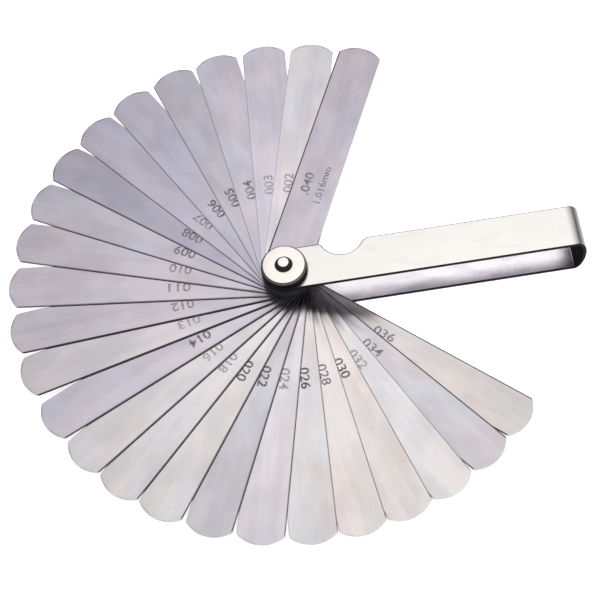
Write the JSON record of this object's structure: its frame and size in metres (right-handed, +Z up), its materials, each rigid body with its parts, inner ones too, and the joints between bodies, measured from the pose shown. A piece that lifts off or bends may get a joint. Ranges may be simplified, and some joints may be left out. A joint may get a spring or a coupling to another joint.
{
  "type": "feeler gauge",
  "caption": "Pocket feeler gauge: steel thickness blades fanned round a pivot in a folded strap case, held by a knurled lock nut.",
  "frame": {"origin": "on the pivot axis, in the plane of the case's underside and the stud's flush head, which the gauge lies on", "axes": "+X from the pivot along the case to its closed end, +Z up along the pivot to the lock nut, +Y to the edge with the thumb notch"},
  "size_m": [0.161, 0.1555, 0.0176],
  "materials": {
    "blade_steel": "ground spring steel, fine grain along the blade",
    "case_steel": "plated strap steel, satin",
    "nut_steel": "bright plated turned steel",
    "block_steel": "dark plain steel"
  },
  "bodies": {
    "case": {"case": "case_steel", "end_block": "block_steel", "pivot_stud": "nut_steel"},
    "lock_nut": {"lock_nut": "nut_steel"},
    "blade_040": {"blade_040": "blade_steel"},
    "blade_002": {"blade_002": "blade_steel"},
    "blade_003": {"blade_003": "blade_steel"},
    "blade_004": {"blade_004": "blade_steel"},
    "blade_005": {"blade_005": "blade_steel"},
    "blade_006": {"blade_006": "blade_steel"},
    "blade_007": {"blade_007": "blade_steel"},
    "blade_008": {"blade_008": "blade_steel"},
    "blade_009": {"blade_009": "blade_steel"},
    "blade_010": {"blade_010": "blade_steel"},
    "blade_011": {"blade_011": "blade_steel"},
    "blade_012": {"blade_012": "blade_steel"},
    "blade_013": {"blade_013": "blade_steel"},
    "blade_014": {"blade_014": "blade_steel"},
    "blade_016": {"blade_016": "blade_steel"},
    "blade_018": {"blade_018": "blade_steel"},
    "blade_020": {"blade_020": "blade_steel"},
    "blade_022": {"blade_022": "blade_steel"},
    "blade_024": {"blade_024": "blade_steel"},
    "blade_026": {"blade_026": "blade_steel"},
    "blade_028": {"blade_028": "blade_steel"},
    "blade_030": {"blade_030": "blade_steel"},
    "blade_032": {"blade_032": "blade_steel"},
    "blade_034": {"blade_034": "blade_steel"},
    "blade_036": {"blade_036": "blade_steel"}
  },
  "joints": [
    {"name": "lock_nut_turn", "type": "hinge", "parent": "case", "child": "lock_nut", "pos_m": [0, 0, 0.0145], "axis": [0, 0, 1], "range_deg": [0, 180]},
    {"name": "blade_040_swing", "type": "hinge", "parent": "case", "child": "blade_040", "pos_m": [0, 0, 0.007], "axis": [0, 0, 1], "range_deg": [-65.5, 294.5]},
    {"name": "blade_002_swing", "type": "hinge", "parent": "case", "child": "blade_002", "pos_m": [0, 0, 0.007], "axis": [0, 0, 1], "range_deg": [-76.5, 283.5]},
    {"name": "blade_003_swing", "type": "hinge", "parent": "case", "child": "blade_003", "pos_m": [0, 0, 0.007], "axis": [0, 0, 1], "range_deg": [-87.5, 272.5]},
    {"name": "blade_004_swing", "type": "hinge", "parent": "case", "child": "blade_004", "pos_m": [0, 0, 0.007], "axis": [0, 0, 1], "range_deg": [-98.5, 261.5]},
    {"name": "blade_005_swing", "type": "hinge", "parent": "case", "child": "blade_005", "pos_m": [0, 0, 0.007], "axis": [0, 0, 1], "range_deg": [-109, 251]},
    {"name": "blade_006_swing", "type": "hinge", "parent": "case", "child": "blade_006", "pos_m": [0, 0, 0.007], "axis": [0, 0, 1], "range_deg": [-120, 240]},
    {"name": "blade_007_swing", "type": "hinge", "parent": "case", "child": "blade_007", "pos_m": [0, 0, 0.007], "axis": [0, 0, 1], "range_deg": [-130.5, 229.5]},
    {"name": "blade_008_swing", "type": "hinge", "parent": "case", "child": "blade_008", "pos_m": [0, 0, 0.007], "axis": [0, 0, 1], "range_deg": [-141, 219]},
    {"name": "blade_009_swing", "type": "hinge", "parent": "case", "child": "blade_009", "pos_m": [0, 0, 0.007], "axis": [0, 0, 1], "range_deg": [-151.5, 208.5]},
    {"name": "blade_010_swing", "type": "hinge", "parent": "case", "child": "blade_010", "pos_m": [0, 0, 0.007], "axis": [0, 0, 1], "range_deg": [-162, 198]},
    {"name": "blade_011_swing", "type": "hinge", "parent": "case", "child": "blade_011", "pos_m": [0, 0, 0.007], "axis": [0, 0, 1], "range_deg": [-173, 187]},
    {"name": "blade_012_swing", "type": "hinge", "parent": "case", "child": "blade_012", "pos_m": [0, 0, 0.007], "axis": [0, 0, 1], "range_deg": [-184, 176]},
    {"name": "blade_013_swing", "type": "hinge", "parent": "case", "child": "blade_013", "pos_m": [0, 0, 0.007], "axis": [0, 0, 1], "range_deg": [-194.5, 165.5]},
    {"name": "blade_014_swing", "type": "hinge", "parent": "case", "child": "blade_014", "pos_m": [0, 0, 0.007], "axis": [0, 0, 1], "range_deg": [-206, 154]},
    {"name": "blade_016_swing", "type": "hinge", "parent": "case", "child": "blade_016", "pos_m": [0, 0, 0.007], "axis": [0, 0, 1], "range_deg": [-216.5, 143.5]},
    {"name": "blade_018_swing", "type": "hinge", "parent": "case", "child": "blade_018", "pos_m": [0, 0, 0.007], "axis": [0, 0, 1], "range_deg": [-226.5, 133.5]},
    {"name": "blade_020_swing", "type": "hinge", "parent": "case", "child": "blade_020", "pos_m": [0, 0, 0.007], "axis": [0, 0, 1], "range_deg": [-236.5, 123.5]},
    {"name": "blade_022_swing", "type": "hinge", "parent": "case", "child": "blade_022", "pos_m": [0, 0, 0.007], "axis": [0, 0, 1], "range_deg": [-247, 113]},
    {"name": "blade_024_swing", "type": "hinge", "parent": "case", "child": "blade_024", "pos_m": [0, 0, 0.007], "axis": [0, 0, 1], "range_deg": [-257.5, 102.5]},
    {"name": "blade_026_swing", "type": "hinge", "parent": "case", "child": "blade_026", "pos_m": [0, 0, 0.007], "axis": [0, 0, 1], "range_deg": [-268, 92]},
    {"name": "blade_028_swing", "type": "hinge", "parent": "case", "child": "blade_028", "pos_m": [0, 0, 0.007], "axis": [0, 0, 1], "range_deg": [-278, 82]},
    {"name": "blade_030_swing", "type": "hinge", "parent": "case", "child": "blade_030", "pos_m": [0, 0, 0.007], "axis": [0, 0, 1], "range_deg": [-288, 72]},
    {"name": "blade_032_swing", "type": "hinge", "parent": "case", "child": "blade_032", "pos_m": [0, 0, 0.007], "axis": [0, 0, 1], "range_deg": [-298, 62]},
    {"name": "blade_034_swing", "type": "hinge", "parent": "case", "child": "blade_034", "pos_m": [0, 0, 0.007], "axis": [0, 0, 1], "range_deg": [-308.5, 51.5]},
    {"name": "blade_036_swing", "type": "hinge", "parent": "case", "child": "blade_036", "pos_m": [0, 0, 0.007], "axis": [0, 0, 1], "range_deg": [-319, 41]}
  ]
}
